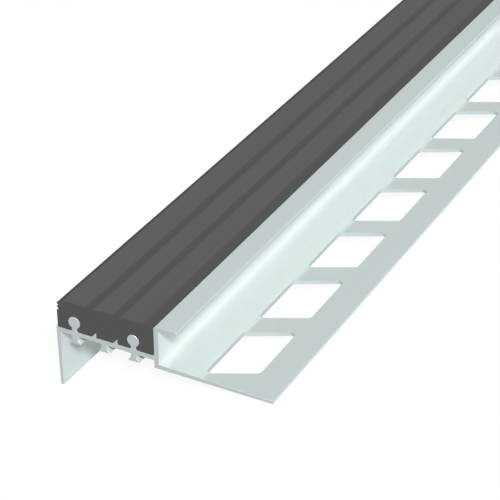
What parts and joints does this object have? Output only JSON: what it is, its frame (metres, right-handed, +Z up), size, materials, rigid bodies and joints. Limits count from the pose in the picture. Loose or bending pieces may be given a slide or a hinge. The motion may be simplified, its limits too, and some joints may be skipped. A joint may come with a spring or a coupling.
{
  "type": "stair nosing",
  "caption": "Straight stair nosing: aluminium edge profile with a riser leg, a tile slot and a perforated bedding flange, and a grooved rubber tread insert.",
  "frame": {"origin": "on the floor, under the middle of the stock's footprint", "axes": "+Y along the stock, away from the end the picture shows; +X from the riser leg to the perforated flange; +Z up from the floor that the loose stock lies on"},
  "size_m": [0.0678, 1, 0.0273],
  "materials": {
    "aluminium_profile": "mill-finish extrusion, smooth",
    "rubber_insert": "matt dark grey"
  },
  "bodies": {
    "root": {"aluminium_profile": "aluminium_profile", "rubber_insert": "rubber_insert"}
  },
  "joints": []
}
